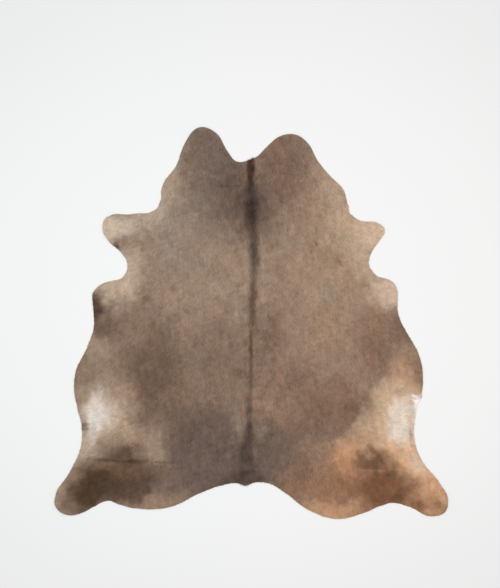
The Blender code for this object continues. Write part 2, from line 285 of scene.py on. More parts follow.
    ("left hind leg crease, middle", Tone.SOOT, -0.592, -0.688, 0.11, 0.014, 0.7, 0.2, -2),
    ("left hind leg crease, inner end", Tone.UMBER, -0.45, -0.694, 0.15, 0.01, 0.5, 0.1, -1),
    # painted highlight: a thin pale line along the right hind leg's crease ridge
    ("right hind leg crease", Tone.SAND, 0.585, -0.732, 0.17, 0.008, 0.26, 0.1, -1),
    # painted shade: dark lines in the left flank's puckers
    ("left flank pucker, upper", Tone.UMBER, -0.842, -0.505, 0.032, 0.012, 0.85, 0.0, -15),
    ("left flank pucker, lower", Tone.UMBER, -0.835, -0.526, 0.03, 0.011, 0.75, 0.0, 5),
    # painted shade: dark lines along the neck's cross fold
    ("neck, cross line", Tone.NIGHT, -0.111, 0.68, 0.1, 0.009, 0.45, 0.2),
    ("neck, cross line, right end", Tone.NIGHT, 0.053, 0.686, 0.055, 0.0085, 0.35, 0.2, 5),
    ("neck, pale line", Tone.FAWN, -0.196, 0.731, 0.07, 0.0085, 0.45, 0.2, -15),
    ("right neck, dark line", Tone.NIGHT, 0.156, 0.741, 0.035, 0.008, 0.4, 0.2, -10),
    ("right neck, pale fleck", Tone.CREAM, 0.251, 0.705, 0.019, 0.0075, 0.17, 0.2, 15),
))


@dataclass(frozen=True)
class Fold:
    """A long low fold of the hide, from one end to the other, that rises off the floor."""

    place: str
    x0: float
    y0: float
    x1: float
    y1: float
    half_width: float
    height: float

    def height_at(self, x: float, y: float) -> float:
        """How far the fold lifts the hide at a point.

        Args:
            x: the point's place across the hide.
            y: the point's place along the hide.

        Returns:
            The rise in metres.
        """
        run_x = self.x1 - self.x0
        run_y = self.y1 - self.y0
        length = hypot(run_x, run_y)
        along = ((x - self.x0) * run_x + (y - self.y0) * run_y) / length**2
        off = abs((x - self.x0) * run_y - (y - self.y0) * run_x) / length
        return self.height * fade(abs(2.0 * along - 1.0)) * swell(off / self.half_width)

    def is_near(self, x: float, y: float) -> bool:
        """Whether a point lies on the fold or close beside it."""
        return self.height_at(x, y) != 0.0


@dataclass(frozen=True)
class RimSpot:
    """A round place at the rim: it curls up by an amount there, or the knife cut out or in by it."""

    place: str
    x: float
    y: float
    reach: float
    amount: float

    def amount_at(self, x: float, y: float) -> float:
        """How much of the amount holds at a point, in metres."""
        return self.amount * swell(hypot(x - self.x, y - self.y) / self.reach)


def swell(share: float) -> float:
    """One at the middle, nought from a share of 1 outwards, with a smooth way between.

    Args:
        share: the distance from the middle, as a share of the reach.

    Returns:
        The height from 0 to 1.
    """
    if share >= 1.0:
        return 0.0
    return 0.5 + 0.5 * cos(pi * share)


def fade(share: float) -> float:
    """One over the middle half of a fold's length, falling smoothly to nought at either end."""
    return swell(max(0.0, 2.0 * share - 1.0))


def clouds(
    places: np.ndarray, length: float, draw: np.random.Generator, mixed: tuple[float, float] = (0.7, 1.4)
) -> np.ndarray:
    """A smooth random field over the hide, nought on average, with a spread of one.

    Args:
        places: the places' x and y.
        length: the usual distance from one cloud to the next.
        draw: the random numbers.
        mixed: the shortest and longest distance, as shares of the usual one.

    Returns:
        The field at each place.
    """
    total = np.zeros(len(places))
    for _ in range(CLOUD_WAVES):
        wave = length * draw.uniform(*mixed)
        bearing, phase = draw.uniform(0.0, 2.0 * pi, 2)
        run = places[:, 0] * cos(bearing) + places[:, 1] * sin(bearing)
        total += np.sin(2.0 * pi * run / wave + phase)
    return total * (2.0 / CLOUD_WAVES) ** 0.5


def outward_normals(path: np.ndarray) -> np.ndarray:
    """The direction out of a closed anticlockwise line at each of its points.

    Args:
        path: the points' x and y.

    Returns:
        A unit vector for each point.
    """
    ahead = np.roll(path, -1, axis=0) - np.roll(path, 1, axis=0)
    outward = np.stack([ahead[:, 1], -ahead[:, 0]], axis=1)
    return outward / np.linalg.norm(outward, axis=1, keepdims=True)


FOLDS = (
    Fold("left hind leg crease", -0.790, -0.674, -0.240, -0.702, 0.045, 0.0045),
    Fold("right hind leg crease", 0.470, -0.722, 0.800, -0.738, 0.042, 0.0040),
    Fold("left flank, upper pucker", -0.880, -0.480, -0.770, -0.500, 0.017, 0.0045),
    Fold("left flank, lower pucker", -0.880, -0.530, -0.765, -0.512, 0.016, 0.0040),
    Fold("right flank, upper pucker", 0.850, -0.505, 0.755, -0.495, 0.018, 0.0040),
    Fold("right flank, lower pucker", 0.850, -0.585, 0.750, -0.560, 0.018, 0.0040),
    Fold("right armpit, upper", 0.610, 0.312, 0.480, 0.330, 0.016, 0.0040),
    Fold("right armpit, lower", 0.610, 0.278, 0.495, 0.290, 0.016, 0.0035),
    Fold("left armpit", -0.640, 0.290, -0.520, 0.285, 0.020, 0.0035),
    Fold("neck, cross fold", -0.190, 0.688, 0.110, 0.680, 0.035, 0.0025),
)
LIFTS = (
    RimSpot("left neck lobe", -0.275, 1.000, 0.190, 0.0050),
    RimSpot("right neck lobe", 0.215, 0.965, 0.170, 0.0045),
    RimSpot("left foreleg", -0.770, 0.480, 0.170, 0.0060),
    RimSpot("right foreleg", 0.690, 0.490, 0.150, 0.0055),
    RimSpot("left elbow", -0.825, 0.130, 0.120, 0.0035),
    RimSpot("right elbow", 0.760, 0.180, 0.120, 0.0035),
    RimSpot("left belly", -0.920, -0.320, 0.140, 0.0030),
    RimSpot("right belly", 0.890, -0.250, 0.150, 0.0035),
    RimSpot("left hind leg", -1.000, -0.930, 0.210, 0.0060),
    RimSpot("right hind leg", 1.005, -0.920, 0.200, 0.0060),
    RimSpot("left thigh", -0.500, -0.960, 0.130, 0.0025),
    RimSpot("right thigh", 0.430, -1.010, 0.150, 0.0030),
)
TRIMS = (
    RimSpot("left neck, foot of the lobe", -0.334, 0.893, 0.070, -0.0045),
    RimSpot("left shoulder, corner", -0.452, 0.655, 0.050, 0.0062),
    RimSpot("left foreleg, inner corner", -0.470, 0.574, 0.034, -0.0062),
    RimSpot("left foreleg, upper edge", -0.553, 0.548, 0.065, 0.0085),
    RimSpot("left foreleg, tip", -0.732, 0.519, 0.042, 0.0060),
    RimSpot("left elbow, upper edge", -0.675, 0.216, 0.045, 0.0050),
    RimSpot("left belly, upper bend", -0.860, -0.447, 0.050, 0.0055),
    RimSpot("right shoulder, inner corner", 0.493, 0.550, 0.040, -0.0085),
    RimSpot("right foreleg, tip", 0.663, 0.450, 0.045, 0.0080),
    RimSpot("right elbow, upper edge", 0.676, 0.218, 0.068, 0.0075),
    RimSpot("right elbow, bend", 0.733, 0.124, 0.050, -0.0045),
    RimSpot("right leg, inner bay", 0.660, -0.911, 0.045, 0.0055),
    RimSpot("right foreleg, upper edge", 0.615, 0.502, 0.035, 0.0045),
    RimSpot("left leg, inner edge", -0.765, -0.908, 0.042, 0.0055),
    RimSpot("left leg, inner bay", -0.700, -0.888, 0.042, -0.0060),
    RimSpot("left thigh, outer corner", -0.601, -0.922, 0.045, 0.0045),
)
CREASES = (
    Fold("left hind leg, sharp line", -0.800, -0.660, -0.330, -0.706, 0.007, -0.0016),
    Fold("right hind leg, sharp line", 0.480, -0.724, 0.800, -0.734, 0.007, 0.0012),
    Fold("left flank, upper line", -0.870, -0.491, -0.790, -0.507, 0.006, -0.0016),
    Fold("left flank, lower line", -0.870, -0.522, -0.790, -0.522, 0.006, -0.0014),
    Fold("right armpit, upper line", 0.600, 0.322, 0.495, 0.330, 0.006, -0.0012),
    Fold("right armpit, lower line", 0.600, 0.304, 0.500, 0.312, 0.006, -0.0012),
    Fold("neck, sharp line", -0.140, 0.683, 0.040, 0.681, 0.007, -0.0010),
)


class NodeBench:
    """Adds shader nodes to one tree and joins them."""

    def __init__(self, tree: bpy.types.NodeTree) -> None:
        """Takes the node tree of a material to work in."""
        self.tree = tree

    def add(self, kind: str, inputs: dict | None = None, **settings: object) -> bpy.types.Node:
        """Adds a node, sets it and feeds its sockets.

        Args:
            kind: the node's type name.
            inputs: a value or an output socket for each input, by name or number.
            settings: the node's own properties.

        Returns:
            The new node.
        """
        node = self.tree.nodes.new(kind)
        for name, value in settings.items():
            setattr(node, name, value)
        for name, value in (inputs or {}).items():
            if isinstance(value, bpy.types.NodeSocket):
                self.tree.links.new(value, node.inputs[name])
            else:
                node.inputs[name].default_value = value
        return node

    def math(self, operation: str, first: object, second: object = 0.0) -> bpy.types.NodeSocket:
        """The socket of one sum, such as MULTIPLY, on two numbers or sockets."""
        return self.add("ShaderNodeMath", {0: first, 1: second}, operation=operation).outputs[0]

    def scaled(self, vector: object, factor: object) -> bpy.types.NodeSocket:
        """The socket of a vector or colour times a number or socket."""
        made = self.add("ShaderNodeVectorMath", {0: vector, "Scale": factor}, operation="SCALE")
        return made.outputs[0]

    def mix(self, factor: object, under: object, over: object) -> bpy.types.NodeSocket:
        """One colour laid over another.

        Args:
            factor: how much of the upper colour shows.
            under: the lower colour.
            over: the upper colour.

        Returns:
            The socket of the mixed colour.
        """
        made = self.add("ShaderNodeMix", data_type="RGBA", clamp_factor=True)
        for name, value in (("Factor_Float", factor), ("A_Color", under), ("B_Color", over)):
            socket = next(s for s in made.inputs if s.identifier == name)
            if isinstance(value, bpy.types.NodeSocket):
                self.tree.links.new(value, socket)
            else:
                socket.default_value = value
        return next(s for s in made.outputs if s.identifier == "Result_Color")

    def noise(self, place: object, scale: float, detail: float = 2.0, rough: float = 0.55) -> bpy.types.Node:
        """A cloudy noise, its scale in clouds to a metre and its detail in finer layers."""
        wanted = {"Vector": place, "Scale": scale, "Detail": detail, "Roughness": rough}
        return self.add("ShaderNodeTexNoise", wanted)

    def swing(self, noise: bpy.types.Node, reach: float, span: float = 0.22) -> bpy.types.NodeSocket:
        """A noise's value as a number that swings by up to its reach to either side of nought."""
        wanted = {"From Min": 0.5 - span, "From Max": 0.5 + span, "To Min": -reach, "To Max": reach}
        return self.add("ShaderNodeMapRange", {"Value": noise.outputs[0], **wanted}).outputs[0]

    def bump(self, noise: bpy.types.Node, height: float, strength: float) -> bpy.types.NodeSocket:
        """The normals of a surface that a noise roughens, by a height in metres."""
        wanted = {"Height": noise.outputs[0], "Distance": height, "Strength": strength}
        return self.add("ShaderNodeBump", wanted).outputs[0]


class MaterialBench(NodeBench):
    """A new material on the bench, with its shader and its place on the piece at hand."""

    def __init__(self, name: str, settings: dict[str, float]) -> None:
        """Starts the material.

        Args:
            name: the material's name.
            settings: the shader's plain numbers, by socket.
        """
        self.material = bpy.data.materials.new(name)
        self.material.use_nodes = True
        super().__init__(self.material.node_tree)
        self.shader = self.tree.nodes["Principled BSDF"]
        for socket, value in settings.items():
            self.shader.inputs[socket].default_value = value
        self.place = self.add("ShaderNodeTexCoord").outputs["Object"]

    def stored(self, name: str, socket: str) -> bpy.types.NodeSocket:
        """What the piece's mesh stores at each point under a name."""
        return self.add("ShaderNodeAttribute", attribute_name=name).outputs[socket]

    def dress(self, socket: str, value: bpy.types.NodeSocket) -> None:
        """Joins a worked-out colour or normal to the shader."""
        self.tree.links.new(value, self.shader.inputs[socket])


@dataclass(frozen=True)
class CoatColour:
    """The coat's colour over the whole hide, with painted shade and a painted highlight along its creases and
    puckers, worked out once for the skin and for every lock.
    """

    broad_waver: tuple[tuple[float, float], ...] = ((0.22, 0.011), (0.07, 0.006), (0.03, 0.003))
    fine_waver: tuple[tuple[float, float], ...] = ((0.06, 0.0015), (0.02, 0.0010))
    clouding: tuple[tuple[float, float], ...] = (
        (0.19, 0.029), (0.09, 0.045), (0.045, 0.054), (0.024, 0.053), (0.011, 0.052)
    )
    warming: tuple[tuple[float, float], ...] = ((0.19, 0.009), (0.09, 0.006))
    spine_clouding: tuple[float, float] = (0.050, 0.085)
    spine_reach: float = 0.16
    mixed: tuple[float, float] = (0.5, 1.9)
    calm: float = 0.85
    shade_limits: tuple[float, float] = (0.6, 1.5)
    tint: tuple[float, float, float] = (1.05, 1.006, 1.013)
    seed: int = 7

    def seen(self, places: np.ndarray) -> np.ndarray:
        """The coat's colour as it looks under even light, with painted shade and a painted highlight along
        the creases and puckers.

        Args:
            places: the places' x and y.

        Returns:
            A linear colour for each place.
        """
        draw = np.random.default_rng(self.seed)
        broad = places + self.wander(places, self.broad_waver, draw)
        fine = places + self.wander(places, self.fine_waver, draw)
        colour = np.tile(GROUND_TONE.colour(), (len(places), 1))
        for marking in MARKINGS:
            share = marking.share(fine if marking.is_fine() else broad)[:, None]
            colour = colour * (1.0 - share) + marking.tone.colour() * share
        mottle = sum(depth * clouds(places, length, draw, self.mixed) for length, depth in self.clouding)
        length, depth = self.spine_clouding
        by_spine = np.exp(-((places[:, 0] / self.spine_reach) ** 2))
        mottle += depth * by_spine * clouds(places, length, draw, self.mixed)
        lightness = colour @ np.array(LUMINANCE)
        shade = (1.0 + mottle * (1.0 - self.calm * lightness)).clip(*self.shade_limits)
        warm = sum(depth * clouds(places, length, draw) for length, depth in self.warming)
        tint = np.stack([1.0 + warm, np.ones(len(places)), 1.0 - warm], axis=1) * np.array(self.tint)
        return (colour * tint * shade[:, None]).clip(0.0, 1.0)

    def wander(
        self, places: np.ndarray, wavers: tuple[tuple[float, float], ...], draw: np.random.Generator
    ) -> np.ndarray:
        """A wandering shift of each place, so that patches have uneven edges.

        Args:
            places: the places' x and y.
            wavers: the length and the reach of each waver, in metres.
            draw: the coat's random numbers.

        Returns:
            The shifts in x and y.
        """
        shift = np.zeros(places.shape)
        for length, reach in wavers:
            for axis in range(2):
                shift[:, axis] += reach * clouds(places, length, draw)
        return shift


def keep_coat(mesh: bpy.types.Mesh, colours: np.ndarray) -> None:
    """Stores the coat's colour at each point of a mesh, where its material reads it.

    Args:
        mesh: the piece's mesh.
        colours: a linear colour for each point.
    """
    whole = np.concatenate([colours, np.ones((len(colours), 1))], axis=1)
    layer = mesh.attributes.new("coat", "FLOAT_COLOR", "POINT")
    layer.data.foreach_set("color", whole.astype(np.float32).reshape(-1))


def new_piece(name: str, mesh: bpy.types.Mesh, *materials: bpy.types.Material) -> bpy.types.Object:
    """Dresses a mesh and puts it in the scene, at the origin.

    Args:
        name: the object's name.
        mesh: its finished mesh.
        materials: the mesh's materials, in the order of its slots.

    Returns:
        The object.
    """
    for material in materials:
        mesh.materials.append(material)
    piece = bpy.data.objects.new(name, mesh)
    bpy.context.scene.collection.objects.link(piece)
    return piece


@dataclass(frozen=True)
class HairFinish:
    """Smooth, close-lying cow hair: darker at its roots, and a little uneven from lock to lock."""

    roughness: float = 0.62
    specular: float = 0.12
    sheen: float = 0.02
    sheen_roughness: float = 0.5
    gain: float = 1.19
    root_shade: float = 0.80
    strand_depth: float = 0.12
    strand_scale: float = 600.0

    def material(self) -> bpy.types.Material:
        """Builds the hair's material.

        Returns:
            The material.
        """
        bench = MaterialBench("cow hair", {
            "Roughness": self.roughness,
            "Specular IOR Level": self.specular,
            "Sheen Weight": self.sheen,
            "Sheen Roughness": self.sheen_roughness,
        })
        strand = bench.swing(bench.noise(bench.place, self.strand_scale), self.strand_depth)
        length = bench.math("MULTIPLY", bench.stored("along", "Fac"), (1.0 - self.root_shade) * self.gain)
        shade = bench.math("ADD", bench.math("ADD", strand, length), self.root_shade * self.gain)
        bench.dress("Base Color", bench.scaled(bench.stored("coat", "Color"), shade))
        return bench.material


@dataclass(frozen=True)
class SkinFinish:
    """The hair side between the locks: the coat's own colour in shade, with a fine brushed grain."""

    gain: float = 1.0
    roughness: float = 0.80
    specular: float = 0.2
    grain_scale: tuple[float, float, float] = (700.0, 90.0, 1.0)
    grain_shade: float = 0.06
    grain_height: float = 0.0003
    grain_strength: float = 0.7

    def material(self) -> bpy.types.Material:
        """Builds the material of the hide's hair side.

        Returns:
            The material.
        """
        bench = MaterialBench("hair side", {"Roughness": self.roughness, "Specular IOR Level": self.specular})
        brushed = bench.add("ShaderNodeMapping", {"Vector": bench.place, "Scale": self.grain_scale})
        strands = bench.noise(brushed.outputs[0], 1.0, 3.0)
        shade = bench.math("ADD", bench.swing(strands, self.grain_shade), self.gain)
        bench.dress("Base Color", bench.scaled(bench.stored("coat", "Color"), shade))
        bench.dress("Normal", bench.bump(strands, self.grain_height, self.grain_strength))
        return bench.material


@dataclass(frozen=True)
class SuedeFinish:
    """The flesh side and the cut edge: pale napped leather with soft stains and fine fibre."""

    name: str
    pale: tuple[float, float, float, float]
    deep: tuple[float, float, float, float]
    stain_scale: float
    fibre_scale: float
    fibre_height: float
    stain_span: tuple[float, float] = (0.35, 0.65)
    fibre_shade: float = 0.10
    fibre_strength: float = 0.8
    roughness: float = 0.92
    specular: float = 0.15

    def material(self) -> bpy.types.Material:
        """Builds the suede's material.

        Returns:
            The material.
        """
        bench = MaterialBench(self.name, {"Roughness": self.roughness, "Specular IOR Level": self.specular})
        low, high = self.stain_span
        haze = bench.noise(bench.place, self.stain_scale, 4.0).outputs[0]
        stains = bench.add("ShaderNodeMapRange", {"Value": haze, "From Min": low, "From Max": high})
        fibre = bench.noise(bench.place, self.fibre_scale, 3.0)
        shade = bench.math("ADD", bench.swing(fibre, self.fibre_shade), 1.0)
        bench.dress("Base Color", bench.scaled(bench.mix(stains.outputs[0], self.pale, self.deep), shade))
        bench.dress("Normal", bench.bump(fibre, self.fibre_height, self.fibre_strength))
        return bench.material


FLESH_SIDE = SuedeFinish("flesh side", (0.60, 0.50, 0.38, 1.0), (0.47, 0.37, 0.26, 1.0), 7.0, 900.0, 0.0004)
CUT_EDGE = SuedeFinish("cut edge", (0.34, 0.25, 0.17, 1.0), (0.20, 0.14, 0.09, 1.0), 40.0, 1400.0, 0.0003)


class Side(Enum):
    """The three surfaces of the hide, in the order of its material slots."""

    HAIR = 0
    FLESH = 1
    CUT = 2


@dataclass
class HideSheet:
    """The tanned skin itself: one closed sheet, cut to the hide's outline, lying on the floor."""

    back_thickness: float = 0.0034
    belly_thickness: float = 0.0023
    back_half_width: float = 0.80
    spine_rise: float = 0.0012
    spine_half_width: float = 0.060
    edge_drop: float = 0.0007
    edge_step: float = 0.020
    rim_step: float = 0.005
    rim_inset: float = 0.0018
    rim_easings: int = 2
    strip_step: float = 0.0130
    strip_gap: float = 0.00005
    sliver: float = 0.0001
    steep: float = 0.5
    crease_halvings: int = 2
    crease_margin: float = 2.5
    sheet: bpy.types.Object | None = field(default=None, init=False)
    rim: list[Vector] = field(default_factory=list, init=False)

    def underside(self, x: float, y: float) -> float:
        """How far the flesh side stands off the floor at a point, in metres."""
        return sum(fold.height_at(x, y) for fold in FOLDS) + sum(lift.amount_at(x, y) for lift in LIFTS)

    def thickness(self, x: float) -> float:
        """The skin's thickness, greatest along the spine.

        Args:
            x: the distance from the spine.

        Returns:
            The thickness in metres.
        """
        back = swell(abs(x) / self.back_half_width)
        spine = self.spine_rise * swell(abs(x) / self.spine_half_width)
        return self.belly_thickness + (self.back_thickness - self.belly_thickness) * back + spine

    def outline(self) -> list[Vector]:
        """The hide's cut line, read from a merged copy of its CAD sheet.

        Returns:
            Evenly spaced points round the hide, anticlockwise, at height nought.
        """
        bm = bmesh.new()
        bm.from_mesh(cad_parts["hide"].data)
        bmesh.ops.remove_doubles(bm, verts=bm.verts, dist=NODE_GAP)
        bm.normal_update()
        ahead: dict[object, list[object]] = {}
        for edge in bm.edges:
            slopes = sorted(face.normal.z for face in edge.link_faces)
            if len(slopes) == 2 and abs(slopes[0]) < self.steep < slopes[1]:
                for here, there in (edge.verts, reversed(edge.verts)):
                    ahead.setdefault(here, []).append(there)
        first = next(iter(ahead))
        loop = [first, ahead[first][0]]
        while loop[-1] is not first:
            onward = [vert for vert in ahead[loop[-1]] if vert is not loop[-2]]
            loop.append(onward[0])
        points = [Vector((vert.co.x, vert.co.y, 0.0)) for vert in loop[:-1]]
        bm.free()
        LOG.info("cut line: %d corners", len(points))
        turning = sum(here.cross(points[index - 1]).z for index, here in enumerate(points))
        if turning > 0.0:
            points.reverse()
        return self.evenly_spaced(points)

    def evenly_spaced(self, points: list[Vector]) -> list[Vector]:
        """Points at equal steps along a closed line.

        Args:
            points: the line's corners.

        Returns:
            The new points, about rim_step apart.
        """
        path = np.array([point[:2] for point in [*points, points[0]]])
        run = np.concatenate([[0.0], np.cumsum(np.linalg.norm(np.diff(path, axis=0), axis=1))])
        count = round(run[-1] / self.rim_step)
        at = np.linspace(0.0, run[-1], count, endpoint=False)
        path = np.stack([np.interp(at, run, path[:, 0]), np.interp(at, run, path[:, 1])], axis=1)
        for _ in range(self.rim_easings):
            path = 0.25 * np.roll(path, 1, axis=0) + 0.5 * path + 0.25 * np.roll(path, -1, axis=0)
        shift = [sum(trim.amount_at(x, y) for trim in TRIMS) - self.rim_inset for x, y in path.tolist()]
        path += outward_normals(path) * np.array(shift)[:, None]
        return [Vector((x, y, 0.0)) for x, y in path]

    def cut_across(self, bm: bmesh.types.BMesh, axis: int) -> None:
        """Cuts the flat sheet into strips at equal steps.

        Args:
            bm: the flat sheet.
            axis: 0 to cut it along, 1 to cut it across.
        """
        places = [vert.co[axis] for vert in bm.verts]
        normal = Vector([float(side == axis) for side in range(3)])
        pending = list(bm.faces)
        at = min(places) + self.strip_step
        while at < max(places):
            edges = {edge for face in pending for edge in face.edges}
            verts = {vert for face in pending for vert in face.verts}
            parts = [*pending, *edges, *verts]
            made = bmesh.ops.bisect_plane(
                bm, geom=parts, dist=self.strip_gap, plane_co=normal * at, plane_no=normal
            )
            faces = [part for part in made["geom"] if isinstance(part, bmesh.types.BMFace)]
            pending = [face for face in faces if max(vert.co[axis] for vert in face.verts) > at + self.sliver]
            at += self.strip_step

    def build(self) -> bpy.types.Object:
        """Makes the closed sheet, shapes its folds and dresses its three surfaces.

        Returns:
            The sheet's object.
        """
        self.rim = self.outline()
        bm = bmesh.new()
        bm.faces.new([bm.verts.new(point) for point in self.rim])
        self.cut_across(bm, 0)
        self.cut_across(bm, 1)
        self.refine(bm)
        bmesh.ops.dissolve_degenerate(bm, edges=bm.edges, dist=self.sliver)
        bmesh.ops.triangulate(bm, faces=bm.faces)
        flesh = set(bm.verts)
        bmesh.ops.extrude_face_region(bm, geom=list(bm.faces))
        self.raise_folds(bm, flesh)
        bmesh.ops.recalc_face_normals(bm, faces=bm.faces)
        self.sort_sides(bm)
        mesh = bpy.data.meshes.new("hide_sheet")
        bm.to_mesh(mesh)
        bm.free()
        keep_coat(mesh, CoatColour().seen(np.array([vert.co[:2] for vert in mesh.vertices])))
        surfaces = (SkinFinish().material(), FLESH_SIDE.material(), CUT_EDGE.material())
        self.sheet = new_piece("hide_sheet", mesh, *surfaces)
        return self.sheet

    def refine(self, bm: bmesh.types.BMesh) -> None:
        """Halves the sheet's squares along the sharp creases, so that these bend cleanly.

        Args:
            bm: the flat sheet.
        """
        bands = [replace(c, half_width=self.crease_margin * c.half_width, height=1.0) for c in CREASES]
        for _ in range(self.crease_halvings):
            near = []
            for edge in bm.edges:
                middle = (edge.verts[0].co + edge.verts[1].co) / 2.0
                if any(band.is_near(middle.x, middle.y) for band in bands):
                    near.append(edge)
            bmesh.ops.subdivide_edges(bm, edges=near, cuts=1, use_grid_fill=True)

    def rim_tree(self) -> kdtree.KDTree:
        """The cut line's points, ready to be searched for the nearest.

        Returns:
            The search tree, numbered as the rim is.
        """
        tree = kdtree.KDTree(len(self.rim))
        for index, point in enumerate(self.rim):
            tree.insert(point, index)
        tree.balance()
        return tree

    def raise_folds(self, bm: bmesh.types.BMesh, flesh: set) -> None:
        """Gives every point of the closed sheet its height.

        Args:
            bm: the closed sheet, still flat.
            flesh: the points of its flesh side.
        """
        rim_tree = self.rim_tree()
        for vert in bm.verts:
            x, y = vert.co.x, vert.co.y
            floor_gap = self.underside(x, y)
            if vert in flesh:
                vert.co.z = floor_gap
                continue
            inward = rim_tree.find(Vector((x, y, 0.0)))[2]
            drop = self.edge_drop * swell(inward / self.edge_step)
            sharp = sum(crease.height_at(x, y) for crease in CREASES)
            vert.co.z = floor_gap + self.thickness(x) - drop + sharp

    def sort_sides(self, bm: bmesh.types.BMesh) -> None:
        """Sorts the faces into hair side, flesh side and cut edge, with crisp lines between them.

        Args:
            bm: the closed sheet in its final shape.
        """
        bm.normal_update()
        for face in bm.faces:
            face.smooth = True
            if face.normal.z > FACING:
                face.material_index = Side.HAIR.value
            elif face.normal.z < -FACING:
                face.material_index = Side.FLESH.value
            else:
                face.material_index = Side.CUT.value
        for edge in bm.edges:
            edge.smooth = len({face.material_index for face in edge.link_faces}) == 1


@dataclass(frozen=True)
class NapGuide:
    """A place on the left half of the coat: where its hair points and how long it is there."""

    place: str
    x: float
    y: float
    heading: float
    length: float
    reach: float


NAP_GUIDES = (
    NapGuide("neck lobe", -0.26, 0.88, 262, 0.016, 0.14),
    NapGuide("neck, outer", -0.40, 0.66, 238, 0.016, 0.12),
    NapGuide("withers", -0.03, 0.62, 268, 0.018, 0.14),
    NapGuide("shoulder", -0.34, 0.40, 246, 0.015, 0.20),
    NapGuide("foreleg", -0.68, 0.46, 186, 0.012, 0.12),
    NapGuide("armpit", -0.56, 0.28, 214, 0.013, 0.09),
    NapGuide("elbow", -0.74, 0.12, 204, 0.014, 0.12),
    NapGuide("back", -0.06, 0.15, 268, 0.015, 0.22),
    NapGuide("ribs", -0.42, 0.02, 244, 0.015, 0.25),
    NapGuide("belly edge", -0.80, -0.16, 226, 0.017, 0.14),
    NapGuide("loins", -0.12, -0.32, 264, 0.015, 0.22),
    NapGuide("flank", -0.60, -0.34, 232, 0.016, 0.18),
    NapGuide("flank whorl", -0.80, -0.45, 168, 0.018, 0.09),
    NapGuide("thigh", -0.52, -0.60, 236, 0.016, 0.14),
    NapGuide("rump", -0.14, -0.64, 266, 0.015, 0.16),
    NapGuide("hind leg", -0.76, -0.78, 222, 0.014, 0.14),
    NapGuide("hind leg, tip", -0.94, -0.88, 214, 0.013, 0.10),
    NapGuide("thigh, lower edge", -0.42, -0.86, 258, 0.014, 0.12),
    NapGuide("tail", -0.02, -0.80, 270, 0.018, 0.08),
)


@dataclass(frozen=True)
class Tuft:
    """A place at the rim where longer hair sticks out past the cut edge."""

    place: str
    x: float
    y: float
    reach: float
    heading: float
    length: float
    overhang: float


TUFTS = (
    Tuft("right flank, white hair", 0.838, -0.388, 0.036, 75, 0.026, 0.012),
    Tuft("neck end of the spine", -0.003, 0.808, 0.027, 92, 0.020, 0.011),
    Tuft("root of the tail", -0.032, -0.803, 0.030, 265, 0.022, 0.009),
)


@dataclass(frozen=True)
class CoatZone:
    """One band of the coat from the neck to the tail, kept as a piece of its own."""

    name: str
    low: float
    high: float


COAT_ZONES = (
    CoatZone("hair_neck", 0.41, 2.0),
    CoatZone("hair_shoulders", 0.08, 0.41),
    CoatZone("hair_ribs", -0.24, 0.08),
    CoatZone("hair_loins", -0.54, -0.24),
    CoatZone("hair_hindquarters", -0.72, -0.54),
    CoatZone("hair_hind_legs", -2.0, -0.72),
)


@dataclass(frozen=True)
class Locks:
    """The locks of the coat or of one zone: their roots, the skin's normals there, and how each one lies."""

    spots: np.ndarray
    normals: np.ndarray
    heading: np.ndarray
    length: np.ndarray
    rise: np.ndarray
    coat: np.ndarray

    def within(self, zone: CoatZone) -> "Locks":
        """The locks that are rooted in one zone."""
        mine = (self.spots[:, 1] >= zone.low) & (self.spots[:, 1] < zone.high)
        return Locks(*(getattr(self, part.name)[mine] for part in fields(self)))


